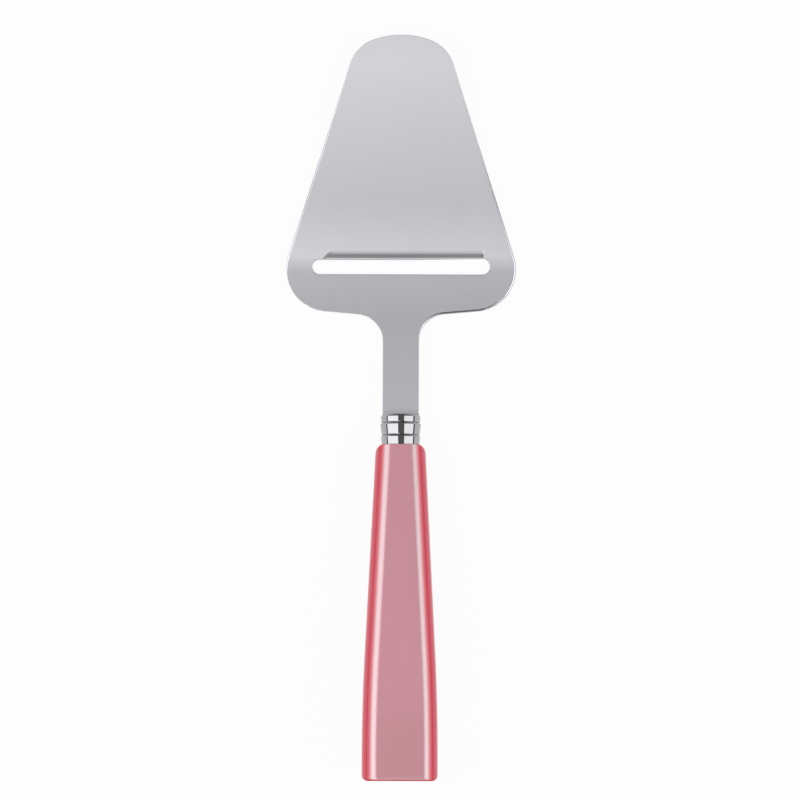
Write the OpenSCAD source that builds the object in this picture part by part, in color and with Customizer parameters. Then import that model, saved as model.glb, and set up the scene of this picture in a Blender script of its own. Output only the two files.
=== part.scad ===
// Cheese slicer: a formed steel blade, a beaded ferrule and a moulded handle on a bonded tang.
// The pieces are built along the tool axis, with the tip towards +Y and the face towards +Z,
// and the whole tool is then laid down as it rests on a table.

/* [Head of the blade] */
// Thickness of the steel sheet
blade_t = 1.5; // [1:0.1:2]
// Distance from the middle of the slot to the tip, seen from above
head_len = 71.2; // [60:0.1:85]
// Greatest width of the head
head_w = 71.7; // [66:0.1:80]
// Width of the head across the corners of the tip
tip_w = 33.1; // [28:0.1:40]
// Radius of the arc across the tip
tip_arc_r = 26.6; // [22:0.1:32]
// Radius of each corner of the tip
tip_corner_r = 11.9; // [6:0.1:13]
// Radius of each rear corner of the head
rear_corner_r = 13.2; // [9:0.1:15]
// Slope of the rear edge, in degrees
rear_slope = 5; // [2:0.5:10]
// Upward bend of the head at the slot, in degrees
head_bend = 7.5; // [5:0.5:12]
// Radius of that bend, at the middle of the sheet
bend_r = 28; // [18:1:34]
// Length of the flat that carries the cutting lip, beyond the bend
head_flat = 12; // [6:0.5:16]
// Radius of the long curve of the head, at the middle of the sheet
head_curve_r = 450; // [350:10:1500]

/* [Slot and cutting lip] */
// Distance from the root of the neck to the middle of the slot
apron_len = 15.4; // [14:0.1:20]
// Width of the slot, along the tool
slot_w = 4.5; // [4.2:0.1:6]
// Width of the metal beyond each end of the slot
slot_web = 8.25; // [6:0.05:11]
// Bevel ground on the rear edge of the slot
slot_bevel = 0.5; // [0.2:0.1:0.8]
// Distance from each end of the slot to the end of the pressed lip
lip_inset = 1.7; // [1:0.1:4]
// Depth that the lip is pressed down
lip_drop = 1.2; // [0.6:0.1:1.4]
// Width of the slope down to the lip
lip_slope_w = 1.9; // [1.2:0.1:2.2]
// Width of the flat land behind the cutting edge
lip_land_w = 0.6; // [0.4:0.1:1]
// Width of the bevel ground under the cutting edge
lip_bevel_w = 0.9; // [0.6:0.1:1.2]
// Thickness left at the cutting edge
lip_edge_t = 0.2; // [0.1:0.05:0.4]

/* [Neck and tang] */
// Distance from the ferrule to the rear edge of the head
neck_len = 30.9; // [24:0.1:40]
// Width of the neck
neck_w = 11.2; // [9:0.1:12]
// Radius between the neck and the rear edge
neck_fillet_r = 8.5; // [5:0.1:10]
// Width of the tang
tang_w = 5; // [4.4:0.1:5.6]
// Length of the tang below the shoulders of the neck
tang_len = 62; // [45:1:80]
// Bevel on the corners of the tang's end
tang_bevel = 1.2; // [0.5:0.1:1.8]
// Radius of the keying notches in the sides of the tang
notch_r = 0.8; // [0.5:0.1:1.2]
// Number of notches on each side of the tang
notch_count = 3; // [2:1:4]
// Distance from one notch to the next
notch_pitch = 9; // [6:1:10]
// Distance from the end of the tang to the first notch
notch_start = 6; // [4:1:8]

/* [Ferrule] */
// Height of each bead, from the blade to the handle
bead_h = [2.45, 3.85, 3.15]; // [1.5:0.05:5]
// Greatest radius of each bead
bead_r = [6.2, 6.34, 6.12]; // [6.1:0.02:6.6]
// Radius at the lower end of each bead
bead_foot_r = [6.05, 5.95, 5.65]; // [5.5:0.05:6.1]
// Radius of the rounded upper edge of a bead
bead_round = 0.7; // [0.4:0.05:0.9]
// Radius of the rounded lower edge of a bead
bead_foot_round = 0.25; // [0.1:0.05:0.4]

/* [Handle] */
// Length of the handle without its spigot
handle_len = 103.8; // [90:0.1:120]
// Width at the ferrule
front_w = 14.8; // [14.4:0.1:18]
// Width at the butt
butt_w = 23.5; // [20:0.1:28]
// Thickness at the ferrule
front_t = 14.6; // [13:0.1:16]
// Thickness at the butt
butt_t = 15.2; // [13:0.1:18]
// Length of the straight taper behind the ferrule
taper_len = 64; // [40:1:75]
// Length of the parallel stretch before the butt
parallel_len = 6.6; // [3:0.1:12]
// Radius of the four long edges
long_edge_r = 5; // [3:0.1:5.4]
// Radius of the corners at the ferrule, seen from above
shoulder_r = 1.8; // [1:0.1:2]
// Radius of the corners at the butt, seen from above
butt_corner_r = 2; // [1:0.1:4]
// Radius of the edges of the front end, seen from the side
front_edge_r = 0.35; // [0.2:0.05:0.9]
// Radius of the edges of the butt, seen from the side
butt_edge_r = 0.8; // [0.4:0.1:0.9]
// Diameter of the spigot that centres the ferrule
spigot_d = 8.6; // [8.2:0.1:9]
// Length of the spigot
spigot_len = 5.5; // [3:0.1:6]

/* [Fits] */
// Gap on each side of the tang where it passes through the ferrule
tang_gap = 0.1; // [0.05:0.05:0.2]
// Gap between the spigot and the ferrule
spigot_gap = 0.1; // [0.05:0.05:0.2]
// Thickness of the bonding resin on each edge of the tang
resin_edge = 0.7; // [0.4:0.05:0.8]
// Thickness of the bonding resin on each face of the tang
resin_face = 0.75; // [0.4:0.05:1]
// Depth of resin below the end of the tang
resin_end = 3; // [1:0.5:5]

/* [Hidden] */

steel = "#c4c3c8";
chrome = "#e4e4e6";
pearl_pink = "#cf6f7c";
amber_resin = "#d8c79a";

$fn = 64;
margin = 1;
sheet_lap = 0.001;
plan_step = 4;
bead_step = 15;
edge_step = 11.25;
end_rings = 6;
curve_rings = 8;

// Plan of the blade: circles joined by tangents
slot_y = neck_len + apron_len;
blade_len = slot_y + head_len;
slot_len = head_w - 2 * slot_web;
lip_len = slot_len - 2 * lip_inset;
slot_front_y = slot_y + slot_w / 2;
slot_rear_y = slot_y - slot_w / 2;
neck_c = [neck_w / 2 + neck_fillet_r,
          neck_len + tan(rear_slope) * neck_fillet_r - neck_fillet_r / cos(rear_slope)];
rear_x = head_w / 2 - rear_corner_r;
rear_c = [rear_x, neck_len + tan(rear_slope) * (rear_x - neck_w / 2) + rear_corner_r / cos(rear_slope)];
tip_c = [0, blade_len - tip_arc_r];
tip_x = tip_w / 2 - tip_corner_r;
corner_c = [tip_x, tip_c.y + sqrt(pow(tip_arc_r - tip_corner_r, 2) - tip_x * tip_x)];
corner_a = atan2(corner_c.y - tip_c.y, tip_x);
side = rear_c - corner_c;
side_a = atan2(side.y, side.x) + acos((tip_corner_r - rear_corner_r) / norm(side));

// Side view of the blade: flat neck, bend at the slot, flat for the lip, long curve of the head
bend_end_y = slot_front_y + lip_land_w;
bend_y = bend_end_y - bend_r * sin(head_bend);
bend_rise = bend_r * (1 - cos(head_bend));
function from_head(p) = [bend_end_y + p.x * cos(head_bend) - p.y * sin(head_bend),
                         bend_rise + p.x * sin(head_bend) + p.y * cos(head_bend)];
curve_c = from_head([head_flat, head_curve_r]);
curve_a = asin((blade_len - curve_c.x) / head_curve_r) - head_bend + 1;
strip_w = head_w + 2 * margin;

// Section of the lip in the plane of the head, from the cutting edge forward to its root
lip_edge_y = -lip_land_w / cos(head_bend);
lip_slope_y = lip_edge_y + lip_land_w;
lip_root_y = lip_slope_y + lip_slope_w;
lip_top = blade_t / 2 - lip_drop;
lip_bottom = lip_top - blade_t;
lip_turn = blade_t * tan(atan2(lip_drop, lip_slope_w) / 2);
lip_ground_w = min(lip_bevel_w, 0.95 * (lip_land_w + lip_turn));
lip_low = [lip_edge_y + lip_ground_w, lip_bottom];

// Places along the tool axis, measured from the top of the ferrule
ferrule_len = bead_h[0] + bead_h[1] + bead_h[2];
spigot_top_y = spigot_len - ferrule_len;
socket_end_y = -tang_len - resin_end;
butt_y = -ferrule_len - handle_len;
curve_end = handle_len - parallel_len;
taper = (butt_w - front_w) / (taper_len + curve_end);

// Rest on the table: on the low edge of the lip, and on the handle's front edge or a bead below it
lip_foot = from_head(lip_low);
front_foot_c = [-ferrule_len - front_edge_r, front_edge_r - front_t / 2];
bead_foot_c = [-bead_round, bead_round - bead_r[0]];
next_bead_foot_c = [-bead_h[0] - bead_round, bead_round - bead_r[1]];
butt_foot_c = [butt_y + butt_edge_r, butt_edge_r - butt_t / 2];
function tilt_on(c, r) =
    let (span = lip_foot - c)
    atan2(span.y, span.x) + asin(r / norm(span));
rest_tilt = max(tilt_on(front_foot_c, front_edge_r),
                tilt_on(bead_foot_c, bead_round),
                tilt_on(next_bead_foot_c, bead_round));
tip_top = [blade_len, curve_c.y - sqrt(pow(head_curve_r - blade_t / 2, 2) - pow(blade_len - curve_c.x, 2))];
function rested_y(p) = p.x * cos(rest_tilt) + p.y * sin(rest_tilt);
function rested_z(p) = p.y * cos(rest_tilt) - p.x * sin(rest_tilt);
middle_y = (rested_y(tip_top) + rested_y(butt_foot_c) - butt_edge_r) / 2;

// Points of an arc, and the mirror image of a half outline
function arc(c, r, a0, a1, step) =
    let (n = ceil(abs(a1 - a0) / step))
    [for (i = [0:n]) let (a = a0 + (a1 - a0) * i / n) c + r * [cos(a), sin(a)]];
function mirrored(points) = [for (i = [len(points) - 1:-1:0]) [-points[i].x, points[i].y]];

// Lays the tool down from its own axis to its place on the table
module laid() {
    translate([0, -middle_y, -rested_z(lip_foot)])
        rotate([-rest_tilt, 0, 0]) children();
}

// Turns a side view, drawn with Y across and Z up, into a solid of width w across the tool
module across(w) {
    rotate([90, 0, 90])
        linear_extrude(height = w, center = true) children();
}

// Cuts right through the blade with a plan seen from above
module through_blade() {
    translate([0, 0, -blade_t])
        linear_extrude(height = tip_top.y + 2 * blade_t) children();
}

// Moves to the plane of the head, where the bend ends
module in_head() {
    translate([0, bend_end_y, bend_rise]) rotate([head_bend, 0, 0]) children();
}

// A flat stretch of sheet from y0 to y1
module flat_sheet(y0, y1) {
    translate([-strip_w / 2, y0, -blade_t / 2]) cube([strip_w, y1 - y0, blade_t]);
}

// A stretch of sheet rolled upwards through an angle, from the origin towards +Y
module rolled_sheet(radius, angle) {
    translate([0, 0, radius])
        rotate([0, 90, 0])
        rotate_extrude(angle = angle)
        translate([radius, 0]) square([blade_t, strip_w], center = true);
}

// The sheet as it is bent, before its outline is cut; the neck laps a hair into the bend
module bent_sheet() {
    flat_sheet(-tang_len - margin, bend_y + sheet_lap);
    translate([0, bend_y, 0]) rolled_sheet(bend_r, head_bend);
    in_head() {
        flat_sheet(0, head_flat);
        translate([0, head_flat, 0]) rolled_sheet(head_curve_r, curve_a);
    }
}

// Plan of the blade: tang, neck, rear corners, straight sides and tip
module blade_plan() {
    half_tang = tang_w / 2;
    right = concat(
        [[half_tang - tang_bevel, -tang_len]],
        [[half_tang, tang_bevel - tang_len]],
        [[half_tang, 0]],
        [[neck_w / 2, 0]],
        arc(neck_c, neck_fillet_r, 180, 90 + rear_slope, plan_step),
        arc(rear_c, rear_corner_r, rear_slope - 90, side_a, plan_step),
        arc(corner_c, tip_corner_r, side_a, corner_a, plan_step),
        arc(tip_c, tip_arc_r, corner_a + plan_step, 90 - plan_step / 2, plan_step));
    polygon(concat(right, mirrored(right)));
}

// Round-ended slot that the slice of cheese comes up through
module slot_plan() {
    end_x = (slot_len - slot_w) / 2;
    right = arc([end_x, slot_y], slot_w / 2, -90, 90, plan_step);
    polygon(concat(right, mirrored(right)));
}

// Section of the pressed lip with its ground cutting edge
module lip_section() {
    polygon([
        [lip_root_y + lip_turn, blade_t / 2],
        [lip_root_y, blade_t / 2],
        [lip_slope_y, lip_top],
        [lip_edge_y, lip_top],
        [lip_edge_y, lip_top - lip_edge_t],
        lip_low,
        [lip_slope_y + lip_turn, lip_bottom],
        [lip_root_y + lip_turn, -blade_t / 2]]);
}

// Bevel along the straight rear edge of the slot
module slot_bevel_cut() {
    across(slot_len - slot_w)
        translate([slot_rear_y, blade_t / 2])
        rotate(45) square(slot_bevel * sqrt(2), center = true);
}

// Half-round notches that key the tang into the resin
module tang_notches() {
    for (i = [0:notch_count - 1], s = [-1, 1])
        translate([s * tang_w / 2, notch_start - tang_len + i * notch_pitch, 0])
            cylinder(h = blade_t + 2 * margin, r = notch_r, center = true);
}

// Stamped and pressed steel: head, neck and tang in one piece
module blade_body() {
    difference() {
        intersection() {
            bent_sheet();
            through_blade() blade_plan();
        }
        through_blade() slot_plan();
        in_head()
            translate([-lip_len / 2, lip_edge_y - margin, -blade_t])
            cube([lip_len, lip_root_y - lip_edge_y + margin, 2 * blade_t]);
        slot_bevel_cut();
        tang_notches();
    }
    in_head() across(lip_len) lip_section();
}

module blade() {
    color(steel) laid() blade_body();
}

// Turned profile of one bead: rounded above, tapered to a smaller foot below
module bead_section(top, h, r, foot_r) {
    polygon(concat(
        [[0, top - h]],
        arc([foot_r - bead_foot_round, top - h + bead_foot_round], bead_foot_round, -90, 0, bead_step),
        arc([r - bead_round, top - bead_round], bead_round, 0, 90, bead_step),
        [[0, top]]));
}

// Plated ferrule: three beads, slotted above for the tang and bored below for the spigot
module ferrule() {
    bore_h = spigot_len + spigot_gap;
    color(chrome) laid() rotate([-90, 0, 0]) difference() {
        rotate_extrude() {
            bead_section(0, bead_h[0], bead_r[0], bead_foot_r[0]);
            bead_section(-bead_h[0], bead_h[1], bead_r[1], bead_foot_r[1]);
            bead_section(-bead_h[0] - bead_h[1], bead_h[2], bead_r[2], bead_foot_r[2]);
        }
        translate([0, 0, -ferrule_len - margin])
            cylinder(h = bore_h + margin, d = spigot_d + 2 * spigot_gap);
        cube([tang_w + 2 * tang_gap, blade_t + 2 * tang_gap, 2 * ferrule_len], center = true);
    }
}

// Half sizes of the handle at distance d behind the ferrule: straight taper, long curve, parallel
function half_w(d) =
    d < taper_len ? front_w / 2 + taper * d :
    d < curve_end ? butt_w / 2 - taper * pow(curve_end - d, 2) / (curve_end - taper_len) / 2 :
    butt_w / 2;
function half_t(d) = (front_t + (butt_t - front_t) * d / handle_len) / 2;

// How far a rounding of radius r draws the outline in, at distance e from the end
function drawn_in(e, r) = e < r ? r - sqrt(r * r - (r - e) * (r - e)) : 0;
function drawn_in_w(d) = drawn_in(d, shoulder_r) + drawn_in(handle_len - d, butt_corner_r);
function drawn_in_t(d) = drawn_in(d, front_edge_r) + drawn_in(handle_len - d, butt_edge_r);

// Rounded rectangle of the handle at distance d, as points behind the ferrule
function handle_ring(d) =
    let (r = long_edge_r - drawn_in_t(d),
         x = half_w(d) - drawn_in_w(d) - r,
         z = half_t(d) - drawn_in_t(d) - r,
         quarter = arc([x, z], r, 0, 90, edge_step),
         right = concat([for (i = [len(quarter) - 1:-1:0]) [quarter[i].x, -quarter[i].y]], quarter))
    [for (p = concat(right, mirrored(right))) [p.x, -ferrule_len - d, p.y]];

// Moulded body of the handle, lofted through its rings
module handle_body() {
    stations = concat(
        [for (i = [0:end_rings]) shoulder_r * pow(i / end_rings, 2)],
        [for (i = [0:curve_rings]) taper_len + (curve_end - taper_len) * i / curve_rings],
        [for (i = [end_rings:-1:0]) handle_len - butt_corner_r * pow(i / end_rings, 2)]);
    rings = [for (d = stations) handle_ring(d)];
    n = len(rings[0]);
    last = len(stations) - 1;
    sides = [for (k = [0:last - 1], i = [0:n - 1])
        let (j = (i + 1) % n)
        [k * n + i, (k + 1) * n + i, (k + 1) * n + j, k * n + j]];
    front = [for (i = [0:n - 1]) i];
    butt = [for (i = [n - 1:-1:0]) last * n + i];
    polyhedron(points = [for (ring = rings, p = ring) p], faces = concat(sides, [front, butt]));
}

// Blind socket for the tang, from the top of the spigot to the bottom of the resin
module socket(room) {
    w = tang_w + 2 * resin_edge;
    t = blade_t + 2 * resin_face;
    translate([-w / 2, socket_end_y, -t / 2])
        cube([w, spigot_top_y + room - socket_end_y, t]);
}

module handle() {
    color(pearl_pink) laid() difference() {
        union() {
            handle_body();
            translate([0, spigot_top_y, 0]) rotate([90, 0, 0]) cylinder(h = 2 * spigot_len, d = spigot_d);
        }
        socket(margin);
    }
}

// Resin that fills the socket around the tang and holds blade, ferrule and handle together
module tang_resin() {
    color(amber_resin) laid() difference() {
        socket(0);
        blade_body();
    }
}

blade();
ferrule();
handle();
tang_resin();
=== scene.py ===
from math import acos, atan2, cos, pi, radians, sin, sqrt, tan

import bmesh
import bpy
from mathutils import Matrix, Vector
from mathutils.kdtree import KDTree


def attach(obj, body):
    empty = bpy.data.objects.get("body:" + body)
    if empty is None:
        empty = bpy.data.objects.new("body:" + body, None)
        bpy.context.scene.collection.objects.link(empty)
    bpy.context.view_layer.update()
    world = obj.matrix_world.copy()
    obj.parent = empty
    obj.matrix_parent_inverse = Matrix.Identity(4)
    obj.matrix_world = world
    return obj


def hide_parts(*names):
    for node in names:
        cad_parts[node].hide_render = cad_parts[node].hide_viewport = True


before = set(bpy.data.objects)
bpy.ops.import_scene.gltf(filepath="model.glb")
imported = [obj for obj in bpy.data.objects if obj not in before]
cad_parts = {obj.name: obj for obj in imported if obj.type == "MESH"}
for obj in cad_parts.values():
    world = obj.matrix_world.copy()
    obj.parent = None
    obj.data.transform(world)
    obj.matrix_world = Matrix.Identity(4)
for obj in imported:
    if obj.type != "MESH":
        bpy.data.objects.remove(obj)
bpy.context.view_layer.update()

# Blade: one piece of stainless sheet, with a wide slotted head, a narrow neck and a tang.
# It is stamped out flat, the front edge of the slot is pressed down and ground to a cutting lip,
# and the head is bent up at the slot and rolled to a long hollow curve. Satin-polished all over.

# Lengths are in millimetres until a piece is laid down, and y runs from the ferrule to the tip.
MM = 0.001
SHEET_T = 1.5
NECK_W, NECK_L, NECK_R = 11.4, 30.9, 8.5
HEAD_W, REAR_R, REAR_SLOPE = 71.68, 13.2, radians(5)
TIP_W, TIP_ARC_R, TIP_R = 33.6, 26.6, 11.9
SLOT_Y, SLOT_W, SLOT_L, SLOT_TO_TIP = 46.3, 4.5, 55.2, 71.08
TANG_W, TANG_L, TANG_BEVEL = 5.0, 62.0, 1.2
NOTCH_R, NOTCHES_Y = 0.8, (-38, -47, -56)
WELD = 1e-4

slot_front = SLOT_Y + SLOT_W / 2
slot_rear = SLOT_Y - SLOT_W / 2
slot_x = (SLOT_L - SLOT_W) / 2
tip_y = SLOT_Y + SLOT_TO_TIP
rear_x = HEAD_W / 2 - REAR_R
rear_c = Vector((rear_x, NECK_L + tan(REAR_SLOPE) * (rear_x - NECK_W / 2) + REAR_R / cos(REAR_SLOPE)))
neck_c = Vector((NECK_W / 2 + NECK_R, NECK_L + tan(REAR_SLOPE) * NECK_R - NECK_R / cos(REAR_SLOPE)))
tip_c = Vector((0, tip_y - TIP_ARC_R))
corner_x = TIP_W / 2 - TIP_R
corner_c = Vector((corner_x, tip_c.y + sqrt((TIP_ARC_R - TIP_R) ** 2 - corner_x ** 2)))
corner_a = atan2(corner_c.y - tip_c.y, corner_x)
side = rear_c - corner_c
side_a = atan2(side.y, side.x) + acos((TIP_R - REAR_R) / side.length)


def line_to(bm, outline, x, y):
    """Draws the outline straight on to a point."""
    outline.append(bm.verts.new((x, y, 0)))
    bm.edges.new(outline[-2:])


def round_to(bm, outline, centre, angle, steps):
    """Draws the outline on round a centre."""
    drawn = len(bm.verts)
    bmesh.ops.spin(bm, geom=outline[-1:], cent=(*centre, 0), axis=(0, 0, 1), angle=angle, steps=steps)
    outline.extend(bm.verts[:][drawn:])


# The right half is drawn from the tip round to the tang and back along the slot, and then mirrored.
bm = bmesh.new()
outline = [bm.verts.new((0, tip_y, 0))]
round_to(bm, outline, tip_c, corner_a - pi / 2, steps=8)
round_to(bm, outline, corner_c, side_a - corner_a, steps=20)
line_to(bm, outline, *(rear_c + REAR_R * Vector((cos(side_a), sin(side_a)))))
round_to(bm, outline, rear_c, REAR_SLOPE - pi / 2 - side_a, steps=36)
line_to(bm, outline, *(neck_c + NECK_R * Vector((-sin(REAR_SLOPE), cos(REAR_SLOPE)))))
round_to(bm, outline, neck_c, pi / 2 - REAR_SLOPE, steps=24)
line_to(bm, outline, NECK_W / 2, 0)
line_to(bm, outline, TANG_W / 2, 0)
for notch_y in NOTCHES_Y:
    line_to(bm, outline, TANG_W / 2, notch_y + NOTCH_R)
    round_to(bm, outline, (TANG_W / 2, notch_y), pi, steps=12)
line_to(bm, outline, TANG_W / 2, TANG_BEVEL - TANG_L)
line_to(bm, outline, TANG_W / 2 - TANG_BEVEL, -TANG_L)
line_to(bm, outline, 0, -TANG_L)
line_to(bm, outline, 0, slot_rear)
line_to(bm, outline, slot_x, slot_rear)
round_to(bm, outline, (slot_x, SLOT_Y), pi, steps=24)
line_to(bm, outline, 0, slot_front)
bm.edges.new((outline[-1], outline[0]))
bm.faces.new(outline)
bmesh.ops.mirror(bm, geom=bm.verts[:] + bm.edges[:] + bm.faces[:], axis="X", merge_dist=WELD)
bmesh.ops.remove_doubles(bm, verts=bm.verts[:], dist=WELD)

# The sheet gets its thickness, and the polishing wheel rounds its rim, all but the cutting lip:
# most at the right rear, and least at the tip, at the neck and at the left rear.
SNAP = 0.01
SHARP_LEFT, SHARP_RIGHT = -24.0, 25.4
SATIN, BUFFED = 0, 1
EDGE_ROUND, SLOT_ROUND, ROUND_STEPS = 0.5, 0.15, 4
TIP_SHARE, TIP_FADE_Y, TIP_FADE_L = 0.15, 105, 12
REAR_SHARE, RIGHT_FADE_Y, LEFT_FADE_Y, REAR_FADE_L = 0.3, 23, 41, 7
EXTRA_SHARE, EXTRA_FADE_Y, EXTRA_FADE_L = 0.4, 62, 10


def cut(bm, faces, place, direction):
    """Cuts faces of the sheet, with their edges and corners, along a plane."""
    edges = {e for f in faces for e in f.edges}
    verts = {v for f in faces for v in f.verts}
    bmesh.ops.bisect_plane(
        bm, geom=[*faces, *edges, *verts], dist=SNAP, plane_co=place, plane_no=direction)


for x in (SHARP_LEFT, SHARP_RIGHT):
    cut(bm, bm.faces[:], (x, 0, 0), (1, 0, 0))
thick = bmesh.ops.extrude_face_region(bm, geom=bm.faces[:])
bmesh.ops.translate(bm, verts=bm.verts[:], vec=(0, 0, -SHEET_T / 2))
top = [v for v in thick["geom"] if isinstance(v, bmesh.types.BMVert)]
bmesh.ops.translate(bm, verts=top, vec=(0, 0, SHEET_T))
bmesh.ops.recalc_face_normals(bm, faces=bm.faces[:])


def ease(t):
    """Goes smoothly from 0 to 1 while t does."""
    t = min(max(t, 0), 1)
    return t * t * (3 - 2 * t)


def wheel_share(x, y):
    """How much of the usual rounding the wheel gives the rim at a place."""
    rear_y = RIGHT_FADE_Y if x > 0 else LEFT_FADE_Y
    near_tip = TIP_SHARE + (1 - TIP_SHARE) * ease((TIP_FADE_Y - y) / TIP_FADE_L)
    near_rear = REAR_SHARE + (1 - REAR_SHARE) * ease((y - rear_y) / REAR_FADE_L)
    extra = EXTRA_SHARE * ease((EXTRA_FADE_Y - y) / EXTRA_FADE_L) if x > 0 else 0
    return min(near_tip, near_rear) * (1 + extra)


def on_tang(v):
    """Whether a corner of the sheet lies on the tang, which is hidden and stays as stamped."""
    return v.co.y < -SNAP


def on_lip(v):
    """Whether a corner of the sheet lies on the cutting edge, which is ground and stays sharp."""
    return abs(v.co.y - slot_front) < 2 * SNAP and SHARP_LEFT - SNAP < v.co.x < SHARP_RIGHT + SNAP


def in_slot(v):
    """Whether a corner of the sheet lies on the outline of the slot."""
    return abs(v.co.y - SLOT_Y) < SLOT_W / 2 + SNAP and abs(v.co.x) < SLOT_L / 2 + SNAP


def round_off(bm, edges, radius):
    """Rounds edges of the sheet, gives them the buffed finish and returns the corners of the rounding."""
    rounded = bmesh.ops.bevel(
        bm, geom=edges, offset=radius, offset_type="OFFSET", affect="EDGES", segments=ROUND_STEPS,
        profile=0.5, material=-1, clamp_overlap=False)
    for f in rounded["faces"]:
        f.material_index = BUFFED
    return {v for f in rounded["faces"] for v in f.verts}


for f in bm.faces:
    f.material_index = SATIN if round(abs(f.normal.z)) else BUFFED
rim = [e for e in bm.edges if len({f.material_index for f in e.link_faces}) == 2]
rim = [e for e in rim if not any(on_tang(v) for v in e.verts) and not all(on_lip(v) for v in e.verts)]
slot_rim = [e for e in rim if all(in_slot(v) for v in e.verts)]
outer_rim = [e for e in rim if e not in slot_rim]
sharp = [v.co.xy for e in outer_rim for v in e.verts]
corners = KDTree(len(sharp))
for i, flat_corner in enumerate(sharp):
    corners.insert((*flat_corner, 0), i)
corners.balance()
round_off(bm, slot_rim, SLOT_ROUND)
for v in round_off(bm, outer_rim, EDGE_ROUND):
    nearest = sharp[corners.find((*v.co.xy, 0))[1]]
    corner = Vector((*nearest, SHEET_T / 2 if v.co.z > 0 else -SHEET_T / 2))
    v.co = corner + (v.co - corner) * wheel_share(v.co.x, v.co.y)

# The sheet is cut into rows across the bend, the lip and the long curve, so that it can follow them,
# and into columns where the lip runs out at each end of the slot. The lip and the side view of the blade
# are given as places and the gradients there. The lip's left end runs out at a slant, its right end is
# sheared, and its right part is worn away.
LIP_PRESS = (
    (0, 0.04), (0.22, 0.1), (0.44, 0.24), (0.75, 0.345), (1, 0.4), (1.4, 0.405), (1.69, 0.355), (2, 0.26),
    (2.31, 0.225), (2.62, 0.212), (3, 0.205), (3.15, 0.2), (3.2, 0))
SIDE_VIEW = (
    (30, 0), (44.2, 0.049), (45.3, 0.055), (45.8, 0.082), (47, 0.105), (48.95, 0.145), (49.15, 0.185),
    (66, 0.114), (107, 0.249), (120, 0.249))
LIP_GRIND, LIP_EDGE_T = 0.9, 0.2
LIP_LEFT, LEFT_SLANT, LEFT_RUN, LEFT_SPREAD, LEFT_SPREAD_FROM = -24.5, 0.83, 0.7, 1.5, 1.4
LIP_RIGHT, RIGHT_RUN = 25.6, 0.2
WORN, WORN_FROM, WORN_RISE_L, WORN_END, WORN_FALL_L, WORN_REACH = 0.4, 16.5, 9, 32, 4, 2
NECK_ROWS, RISE_ROWS, BEND_ROWS, LIP_ROWS, LIP_ROW_L, ROLL_ROW_L = (0, 0.6, 6, 14, 22), 8, 20, 15, 0.2, 3
LEFT_CUTS, LEFT_CUTS_FROM, LEFT_CUT_L = 20, -25.4, 0.25
RIGHT_CUTS = (-20, -8, -4, -2, -1, 0, 1, 2, 4, 8)

rise_start, bend_start, roll_end = SIDE_VIEW[0][0], SIDE_VIEW[1][0], SIDE_VIEW[-2][0]
lip_back = slot_front + LIP_PRESS[-1][0]
past_lip = lip_back + LIP_ROW_L
roll_rows = int((roll_end - lip_back) / ROLL_ROW_L)
rows = [bend_start + (slot_front - bend_start) * i / BEND_ROWS for i in range(BEND_ROWS)]
rows += [slot_front + LIP_ROW_L * i for i in range(1, LIP_ROWS + 1)]
rows += [slot_front + LIP_PRESS[-2][0], lip_back, past_lip]
rows += [lip_back + ROLL_ROW_L * i for i in range(1, roll_rows + 1)] + [roll_end, *NECK_ROWS]
rows += [rise_start + (bend_start - rise_start) * i / RISE_ROWS for i in range(RISE_ROWS)]
for y in rows:
    cut(bm, bm.faces[:], (0, y, 0), (0, 1, 0))
columns = [LEFT_CUTS_FROM + LEFT_CUT_L * i for i in range(LEFT_CUTS)]
columns += [LIP_RIGHT + RIGHT_RUN / 4 * quarters for quarters in RIGHT_CUTS]
for x in columns:
    band = [f for f in bm.faces if SLOT_Y < f.calc_center_median().y < past_lip]
    cut(bm, band, (x, 0, 0), (1, 0, 0))


def climb(profile, y):
    """Height and gradient of a side view at a place, from its places and the gradients there."""
    z = 0
    for (y0, g0), (y1, g1) in zip(profile, profile[1:]):
        step = min(max(y - y0, 0), y1 - y0)
        gradient = g0 + (g1 - g0) * step / (y1 - y0)
        z += step * (g0 + gradient) / 2
        if y <= y1:
            break
    return z, gradient


def lip_share(x, past):
    """How much of the lip's shape there is at a place, some way past the front of the slot.
    Each end of the lip runs out half before its place and half after it."""
    left_run = LEFT_RUN + LEFT_SPREAD * max(past - LEFT_SPREAD_FROM, 0)
    from_left = ease((x - LIP_LEFT - LEFT_SLANT * past) / left_run + 0.5)
    from_right = ease((LIP_RIGHT - x) / RIGHT_RUN + 0.5)
    return min(from_left, from_right)


def worn_away(x, y, past):
    """How far the cutting edge is worn away at a place: most at the edge itself, and less past it."""
    worn = WORN * ease((x - WORN_FROM) / WORN_RISE_L) * ease((WORN_END - x) / WORN_FALL_L)
    return worn * ease((y - SLOT_Y) / WORN_REACH) * max(1 - past / WORN_REACH, 0)


lip_depth = climb(LIP_PRESS, LIP_PRESS[-1][0])[0]
for v in bm.verts:
    x, y, h = v.co
    if y > SLOT_Y:
        past = max(y - slot_front, 0)
        share = lip_share(x, past)
        y += worn_away(x, y, past)
        ground = min(past / LIP_GRIND, 1)
        thinned = LIP_EDGE_T / SHEET_T + (1 - LIP_EDGE_T / SHEET_T) * ground
        h = SHEET_T / 2 - (SHEET_T / 2 - h) * (1 + share * (thinned - 1))
        h -= share * (lip_depth - climb(LIP_PRESS, past)[0])
    z, gradient = climb(SIDE_VIEW, y)
    slope = atan2(gradient, 1)
    v.co = (x, y - h * sin(slope), z + h * cos(slope))
grain = bm.loops.layers.uv.new("grain")
for f in bm.faces:
    for loop in f.loops:
        loop[grain].uv = loop.vert.co.xy * MM

# The tool lies on the table with the same turn and shift as its solids.
REST_TILT, REST_BACK, REST_LIFT = radians(5.42116), 2.44081, 6.34305


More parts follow.
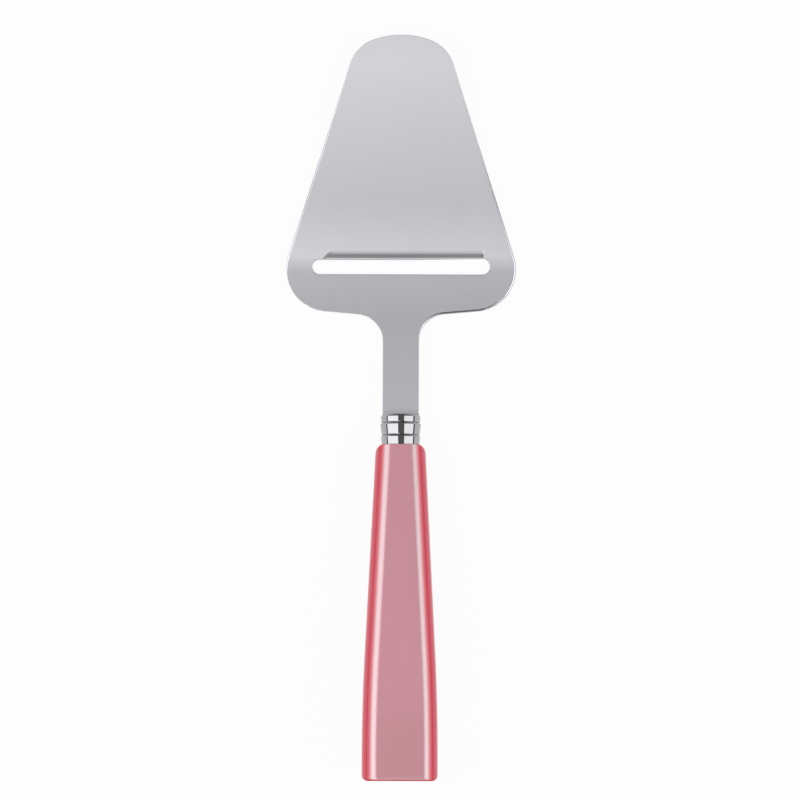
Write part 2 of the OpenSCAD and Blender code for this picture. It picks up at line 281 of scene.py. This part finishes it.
def lay_down(bm):
    """Lays a piece built along the tool's own axis down on the table, in metres."""
    rest = Matrix.Translation((0, -REST_BACK, REST_LIFT)) @ Matrix.Rotation(-REST_TILT, 4, "X")
    bmesh.ops.transform(bm, matrix=Matrix.Scale(MM, 4) @ rest, verts=bm.verts[:])


lay_down(bm)
bmesh.ops.remove_doubles(bm, verts=bm.verts[:], dist=MM / 1000)
bmesh.ops.recalc_face_normals(bm, faces=bm.faces[:])


def make_piece(bm, name, material, slot, *nodes):
    """Turns a finished mesh into a smooth piece that rides on the tool and stands for its CAD node."""
    mesh = bpy.data.meshes.new(name)
    for f in bm.faces:
        f.smooth = True
    bm.to_mesh(mesh)
    bm.free()
    mesh.materials.append(material)
    piece = bpy.data.objects.new(name, mesh)
    bpy.context.scene.collection.objects.link(piece)
    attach(piece, "root")
    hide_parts(*nodes)
    return piece


def rgb(code):
    """A linear colour from an sRGB hex value."""
    parts = [int(code[i:i + 2], 16) / 255 for i in (0, 2, 4)]
    return (*[c / 12.92 if c < 0.04045 else ((c + 0.055) / 1.055) ** 2.4 for c in parts], 1)


def new_material(name):
    """An empty material and its tree of nodes."""
    material = bpy.data.materials.new(name)
    material.use_nodes = True
    material.node_tree.nodes.clear()
    return material, material.node_tree


def add(tree, kind, settings, inputs):
    """Adds a node with its settings and its inputs, which are values or the outputs they come from."""
    made = tree.nodes.new("ShaderNode" + kind)
    for name, value in settings.items():
        setattr(made, name, value)
    for name, value in inputs.items():
        if isinstance(value, bpy.types.NodeSocket):
            tree.links.new(value, made.inputs[name])
        else:
            made.inputs[name].default_value = value
    return made


def spots(tree, place, size, detail):
    """Soft spots of about a size, from 0 to 1."""
    return add(tree, "TexNoise", {}, {"Vector": place, "Scale": 1 / size, "Detail": detail}).outputs["Fac"]


def between(tree, share, first, second):
    """A colour between two, by a share from 0 to 1."""
    return add(tree, "Mix", {"data_type": "RGBA"}, {0: share, 6: first, 7: second}).outputs[2]


def spread(tree, share, low, high):
    """A value between two, by a share from 0 to 1."""
    return add(tree, "MapRange", {}, {"Value": share, "To Min": low, "To Max": high}).outputs["Result"]


def finish_metal(tree, tone, roughness, more):
    """Gives a material its bare metal surface, with what more there is to say of it."""
    inputs = {"Base Color": tone, "Metallic": 1.0, "Roughness": roughness, **more}
    shader = add(tree, "BsdfPrincipled", {}, inputs)
    add(tree, "OutputMaterial", {}, {"Surface": shader.outputs[0]})


# Stainless sheet, belt-polished to a satin: a pale grey with a breath of violet, in which every light
# spreads out soft along the blade. The belt's scratches are drawn 0.3 mm apart, coarser than real ones,
# to show.
SCRATCH_W, SCRATCH_L, SCRATCH_H, STEEL_CLOUD = 0.3 * MM, 14 * MM, 0.02 * MM, 22 * MM
steel, tree = new_material("satin_stainless_steel")
across = add(tree, "Tangent", {"direction_type": "UV_MAP", "uv_map": "grain"}, {}).outputs["Tangent"]
sheet_place = add(tree, "UVMap", {"uv_map": "grain"}, {}).outputs["UV"]
stretched = add(tree, "Mapping", {}, {"Vector": sheet_place, "Scale": (1 / SCRATCH_W, 1 / SCRATCH_L, 1)})
scratches = spots(tree, stretched.outputs["Vector"], 1.0, 2.0)
spot = add(tree, "TexCoord", {}, {}).outputs["Object"]
tone = between(tree, spots(tree, spot, STEEL_CLOUD, 2.0), rgb("CAC9CE"), rgb("CECDD2"))
relief = add(tree, "Bump", {}, {"Height": scratches, "Strength": 0.03, "Distance": SCRATCH_H})
finish_metal(tree, tone, spread(tree, scratches, 0.42, 0.46), {
    "Anisotropic": 0.6, "Tangent": across, "Normal": relief.outputs["Normal"]})

# The same steel where the buffing wheel ran along the rim: small clear reflections, a bright line round
# the head, a little uneven every few millimetres.
WHEEL_MARK = 2.5 * MM
buffed_edge, tree = new_material("buffed_steel_edge")
spot = add(tree, "TexCoord", {}, {}).outputs["Object"]
wheel_marks = spots(tree, spot, WHEEL_MARK, 1.0)
tone = between(tree, wheel_marks, rgb("C9C8CD"), rgb("D2D1D6"))
finish_metal(tree, tone, spread(tree, wheel_marks, 0.12, 0.2), {})
blade = make_piece(bm, "blade_sheet", steel, "satin_steel", "blade")
blade.data.materials.append(buffed_edge)

# The flats stay flat right up to their rounded rims: each normal leans to the larger faces round it.
lean = [Vector() for v in blade.data.vertices]
for f in blade.data.polygons:
    for i in f.vertices:
        lean[i] += f.normal * f.area
blade.data.normals_split_custom_set_from_vertices([n.normalized() for n in lean])

# Ferrule: a turned brass collar with three beads, bright chrome plated.
# Its slotted top fits over the tang, and its bore sits on the spigot of the handle.
# Each bead has a length, a radius, the radius of its foot and the rounding of that foot.
BEADS = ((2.45, 6.2, 6.05, 0.25), (3.85, 6.34, 5.95, 0.25), (3.15, 6.14, 5.85, 0.08))
BEAD_ROUND = 0.7
BORE_R, BORE_H, CORE_R = 4.4, 5.6, 3.2
TANG_GAP, TANG_SLOT_R = 0.1, 0.15
AROUND = 100
ferrule_l = sum(bead[0] for bead in BEADS)
bore_end = BORE_H - ferrule_l

bm = bmesh.new()
outline = [bm.verts.new((CORE_R, 0, 0))]
bead_y = 0
for bead_l, bead_r, foot_r, foot_round in BEADS:
    line_to(bm, outline, bead_r - BEAD_ROUND, bead_y)
    round_to(bm, outline, (bead_r - BEAD_ROUND, bead_y - BEAD_ROUND), -pi / 2, steps=8)
    bead_y -= bead_l
    line_to(bm, outline, foot_r, bead_y + foot_round)
    round_to(bm, outline, (foot_r - foot_round, bead_y + foot_round), -pi / 2, steps=5)
line_to(bm, outline, BORE_R, -ferrule_l)
line_to(bm, outline, BORE_R, bore_end)
line_to(bm, outline, CORE_R, bore_end)
bmesh.ops.spin(
    bm, geom=bm.verts[:] + bm.edges[:], cent=(0, 0, 0), axis=(0, 1, 0), angle=2 * pi, steps=AROUND,
    use_merge=True)


def across_tool(bm, y, verts):
    """Turns a flat ring to stand across the tool at y, and returns its edges."""
    bmesh.ops.rotate(bm, cent=(0, 0, 0), matrix=Matrix.Rotation(pi / 2, 3, "X"), verts=verts)
    bmesh.ops.translate(bm, vec=(0, y, 0), verts=verts)
    return list({e for v in verts for e in v.link_edges})


def slab_ring(bm, y, w, t, r, steps):
    """A rounded rectangle across the tool at y, as a loop of edges."""
    square = bmesh.ops.create_grid(bm, x_segments=1, y_segments=1, size=0.5)["verts"]
    bmesh.ops.scale(bm, vec=(w, t, 1), verts=square)
    rounded = bmesh.ops.bevel(
        bm, geom=square, offset=r, offset_type="OFFSET", affect="VERTICES", segments=steps, profile=0.5,
        material=-1)
    ring = across_tool(bm, y, rounded["verts"])
    inside = {f for e in ring for f in e.link_faces}
    bmesh.ops.delete(bm, geom=list(inside), context="FACES_ONLY")
    return ring


ends = [e for e in bm.edges if e.is_boundary]
for y in (0, bore_end):
    tang_slot = slab_ring(
        bm, y, TANG_W + 2 * TANG_GAP, SHEET_T + 2 * TANG_GAP, TANG_SLOT_R, AROUND // 4 - 1)
    bmesh.ops.bridge_loops(bm, edges=tang_slot + [e for e in ends if abs(e.verts[0].co.y - y) < SNAP])
bmesh.ops.bridge_loops(bm, edges=[e for e in bm.edges if e.is_boundary])
bmesh.ops.recalc_face_normals(bm, faces=bm.faces[:])
lay_down(bm)

# Chrome plate over turned and polished brass: a clear mirror, so the beads show the studio in hard light
# and dark bands, with the faintest haze from handling.
HAZE_SPOT = 1.8 * MM
chrome, tree = new_material("bright_chrome_plate")
spot = add(tree, "TexCoord", {}, {}).outputs["Object"]
haze = spots(tree, spot, HAZE_SPOT, 2.0)
tone = between(tree, haze, rgb("A8A8AB"), rgb("AEAEB0"))
finish_metal(tree, tone, spread(tree, haze, 0.04, 0.08), {})
ferrule = make_piece(bm, "beaded_collar", chrome, "chrome_plate", "ferrule")
ferrule.modifiers.new("turned_faces", "WEIGHTED_NORMAL")

# Handle: moulded in pearl acrylic, thicker and wider towards the butt, its long edges rounded and buffed.
# A spigot on its front end centres the ferrule, and a blind socket takes the tang.
HANDLE_L, FRONT_W, BUTT_W, FRONT_T, BUTT_T = 103.8, 15.4, 23.5, 14.56, 15.17
TAPER_L, PARALLEL_L = 64.0, 6.6
LONG_EDGE_R, SHOULDER_R, BUTT_R, FRONT_EDGE_R, BUTT_EDGE_R = 5.0, 2.8, 2.0, 0.15, 0.8
SPIGOT_R, SPIGOT_L = 4.3, 5.5
SOCKET_W, SOCKET_T, SOCKET_R, SOCKET_END = 6.4, 3.0, 0.3, -65.0
CORNER_STEPS, END_RINGS, TAPER_RINGS, CURVE_RINGS = 20, 10, 4, 14
curve_end = HANDLE_L - PARALLEL_L
taper = (BUTT_W - FRONT_W) / (TAPER_L + curve_end)


def drawn_in(e, r):
    """How far a rounding of radius r draws the outline in at a distance from the end."""
    return r - sqrt(r * r - (r - e) ** 2) if e < r else 0


def handle_ring(bm, d):
    """The rounded section of the handle at a distance behind the ferrule."""
    w = FRONT_W + 2 * taper * d
    if d > TAPER_L:
        w = BUTT_W - taper * max(curve_end - d, 0) ** 2 / (curve_end - TAPER_L)
    inset = drawn_in(d, FRONT_EDGE_R) + drawn_in(HANDLE_L - d, BUTT_EDGE_R)
    t = FRONT_T + (BUTT_T - FRONT_T) * d / HANDLE_L - 2 * inset
    ring = slab_ring(bm, -ferrule_l - d, w, t, LONG_EDGE_R - inset, CORNER_STEPS)
    reach = w / 2 - drawn_in(d, SHOULDER_R) - drawn_in(HANDLE_L - d, BUTT_R)
    for v in {v for e in ring for v in e.verts}:
        v.co.x = min(max(v.co.x, -reach), reach)
    return ring


stations = [SHOULDER_R * (i / END_RINGS) ** 2 for i in range(END_RINGS + 1)]
stations += [TAPER_L * i / TAPER_RINGS for i in range(1, TAPER_RINGS + 1)]
stations += [TAPER_L + (curve_end - TAPER_L) * i / CURVE_RINGS for i in range(1, CURVE_RINGS + 1)]
stations += [HANDLE_L - BUTT_R * (i / END_RINGS) ** 2 for i in range(END_RINGS, -1, -1)]
spigot_end = SPIGOT_L - ferrule_l
bm = bmesh.new()
rings = [slab_ring(bm, y, SOCKET_W, SOCKET_T, SOCKET_R, CORNER_STEPS) for y in (SOCKET_END, spigot_end)]
for y in (spigot_end, -ferrule_l):
    circle = bmesh.ops.create_circle(bm, segments=4 * (CORNER_STEPS + 1), radius=SPIGOT_R)["verts"]
    rings.append(across_tool(bm, y, circle))
rings += [handle_ring(bm, d) for d in stations]
for one, other in zip(rings, rings[1:]):
    bmesh.ops.bridge_loops(bm, edges=one + other)
bmesh.ops.holes_fill(bm, edges=rings[0] + rings[-1], sides=0)
bmesh.ops.recalc_face_normals(bm, faces=bm.faces[:])
bm.normal_update()
turned = bm.verts.layers.float.new("turned_from_face")
for v in bm.verts:
    v[turned] = acos(min(abs(v.normal.z), 1)) / (pi / 2)
lay_down(bm)


def smooth_step(tree, value, start, end, first, last):
    """Goes smoothly from the first value to the last while another value goes from start to end."""
    made = add(tree, "MapRange", {"interpolation_type": "SMOOTHSTEP"}, {
        "Value": value, "From Min": start, "From Max": end, "To Min": first, "To Max": last})
    return made.outputs["Result"]


# Pearl acrylic, its flakes lying level with the broad faces: a grey rose with a metallic lustre where one
# looks straight at them, a pale band painted into the colour where the face begins to turn, which is a
# painted highlight, and the clear red of the body in the sides, which cut across them. Clouds run along
# the handle, the colour of the faces is darkened towards the butt as painted shade, and buffing gives a
# clear gloss. The flakes are drawn 0.6 mm wide, coarser than real ones, to show.
FLAKE_W, PEARL_CLOUD_W, PEARL_CLOUD_L = 0.6 * MM, 4 * MM, 18 * MM
# Between these two places the face colour darkens towards the butt: painted shade, for less light there.
SHADE_FULL_Y, SHADE_NONE_Y = -110 * MM, -80 * MM
# The first two bound a pale band painted into the colour where the face begins to turn: a painted
# highlight.
PAINTED_HIGHLIGHT_START, PAINTED_HIGHLIGHT_END, FACE_END, SIDE_START = 0.03, 0.16, 0.19, 0.4
PEARL_LUSTRE = 0.45
pearl, tree = new_material("buffed_pearl_acrylic")
turn = add(tree, "Attribute", {"attribute_name": "turned_from_face"}, {}).outputs["Fac"]
facing = smooth_step(tree, turn, FACE_END, SIDE_START, 1.0, 0.0)
# The pale band painted into the colour where the face begins to turn: a painted highlight.
painted_highlight = smooth_step(tree, turn, PAINTED_HIGHLIGHT_START, PAINTED_HIGHLIGHT_END, 0.0, 1.0)
spot = add(tree, "TexCoord", {}, {}).outputs["Object"]
stretched = add(tree, "Mapping", {}, {
    "Vector": spot, "Scale": (1 / PEARL_CLOUD_W, 1 / PEARL_CLOUD_L, 1 / PEARL_CLOUD_W)})
clouds = spots(tree, stretched.outputs["Vector"], 1.0, 2.0)
flakes = spots(tree, spot, FLAKE_W, 2.0)
lengthwise = add(tree, "SeparateXYZ", {}, {0: spot}).outputs["Y"]
# The face colour darkens towards the butt: painted shade.
painted_shade_to_butt = smooth_step(tree, lengthwise, SHADE_FULL_Y, SHADE_NONE_Y, 1.0, 0.0)
front_rose = between(tree, clouds, rgb("FBB2C0"), rgb("FFB9C7"))
# The darker F3B0BA rose at the butt is painted shade.
rose = between(tree, painted_shade_to_butt, front_rose, rgb("F3B0BA"))
# The pale DCC1C4 band laid over the face colour is a painted highlight.
face_with_painted_highlight = between(tree, painted_highlight, rose, rgb("DCC1C4"))
colour = between(tree, facing, rgb("E5495E"), face_with_painted_highlight)
lustre = add(tree, "Math", {"operation": "MULTIPLY"}, {0: facing, 1: PEARL_LUSTRE}).outputs[0]
shader = add(tree, "BsdfPrincipled", {}, {
    "Base Color": colour, "Metallic": lustre, "Roughness": spread(tree, flakes, 0.27, 0.33),
    "Specular IOR Level": 0.1, "Coat Weight": 1.0, "Coat IOR": 1.49, "Coat Roughness": 0.03})
add(tree, "OutputMaterial", {}, {"Surface": shader.outputs[0]})
handle = make_piece(bm, "handle_slab", pearl, "pearl_acrylic", "handle")
handle.modifiers.new("buffed_faces", "WEIGHTED_NORMAL")

# Tang resin: clear amber casting resin, poured into the socket round the tang, where it sets.
# It holds blade, ferrule and handle together, and is hidden inside them. Its solid stays as it is.

# Clear casting resin, poured warm: honey yellow with paler clouds where it set slowly, smooth and glossy.
RESIN_CLOUD = 5 * MM
resin, tree = new_material("cast_amber_resin")
spot = add(tree, "TexCoord", {}, {}).outputs["Object"]
tone = between(tree, spots(tree, spot, RESIN_CLOUD, 2.0), rgb("CDB583"), rgb("DDCDA2"))
shader = add(tree, "BsdfPrincipled", {}, {"Base Color": tone, "Roughness": 0.25})
add(tree, "OutputMaterial", {}, {"Surface": shader.outputs[0]})
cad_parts["tang_resin"].data.materials.clear()
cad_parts["tang_resin"].data.materials.append(resin)

# Floor: a wide sheet of white paper, which shows white in the picture and keeps a faint shadow.
# To the camera and in the polished parts it glows, and to all other light it is plain paper.
FLOOR_HALF_W, PAPER_GLOW = 4, 0.95

# Matt white paper: an even white with no shine.
paper, tree = new_material("white_paper")
rays = add(tree, "LightPath", {}, {}).outputs
seen = add(tree, "Math", {"operation": "MAXIMUM"}, {0: rays["Is Camera Ray"], 1: rays["Is Glossy Ray"]})
seen = add(tree, "Math", {"operation": "MAXIMUM"}, {0: seen.outputs[0], 1: rays["Is Transmission Ray"]})
glow_share = add(tree, "Math", {"operation": "MULTIPLY"}, {0: seen.outputs[0], 1: PAPER_GLOW})
matt = add(tree, "BsdfDiffuse", {}, {"Color": rgb("F2F2F2")})
glow = add(tree, "Emission", {}, {"Color": rgb("FFFFFF"), "Strength": 1.0})
mixed = add(tree, "MixShader", {}, {0: glow_share.outputs[0], 1: matt.outputs[0], 2: glow.outputs[0]})
add(tree, "OutputMaterial", {}, {"Surface": mixed.outputs[0]})
bm = bmesh.new()
bmesh.ops.create_grid(bm, x_segments=1, y_segments=1, size=FLOOR_HALF_W)
mesh = bpy.data.meshes.new("floor")
bm.to_mesh(mesh)
bm.free()
mesh.materials.append(paper)
floor = bpy.data.objects.new("floor", mesh)
bpy.context.scene.collection.objects.link(floor)

# Lights: a big softbox leaning over the tool on each side, a small bright one high up beyond the butt, to
# the left, and a low panel beyond the butt, to the right, which lights the rims and the groove of the lip,
# in a dim studio. The dark between them is what the polished parts mirror as dark bands.
STUDIO_LIGHT = 0.18
world = bpy.data.worlds.new("dim_studio")
world.use_nodes = True
world.node_tree.nodes["Background"].inputs["Color"].default_value = rgb("FFFFFF")
world.node_tree.nodes["Background"].inputs["Strength"].default_value = STUDIO_LIGHT
bpy.context.scene.world = world


def softbox(name, place, aim, height, length, radiance):
    """A softbox that faces a point, its length level, with the brightness that its cloth shows."""
    lamp = bpy.data.lights.new(name, "AREA")
    lamp.shape = "RECTANGLE"
    lamp.size, lamp.size_y = height, length
    lamp.energy = radiance * pi * height * length
    box = bpy.data.objects.new(name, lamp)
    box.location = place
    box.rotation_euler = (Vector(aim) - Vector(place)).to_track_quat("-Z", "X").to_euler()
    bpy.context.scene.collection.objects.link(box)


softbox("left_softbox", (-0.736, -0.025, 0.678), (0, -0.025, 0), height=1.281, length=0.65, radiance=1.9)
softbox("right_softbox", (0.76, -0.125, 0.649), (0, -0.125, 0), height=1.086, length=0.75, radiance=1.72)
softbox("right_front_panel", (0.72, -0.96, 0.45), (0.03, 0, 0), height=0.45, length=0.73, radiance=1.25)
softbox("front_softbox", (-0.35, -0.43, 1.12), (-0.35, 0, 0), height=0.27, length=0.55, radiance=4.1)

# Camera: a long lens 1.3 m straight above the tool, so that it shows almost no perspective.
# It is turned a sixth of a degree and stands a little off the middle, as in the photograph.
lens = bpy.data.cameras.new("camera")
lens.lens, lens.sensor_width = 187.3, 36
camera = bpy.data.objects.new("camera", lens)
camera.location = (-0.00022, 0.00233, 1.3)
camera.rotation_euler = (0, 0, radians(0.167))
bpy.context.scene.collection.objects.link(camera)
bpy.context.scene.camera = camera
bpy.context.scene.view_settings.view_transform = "Standard"
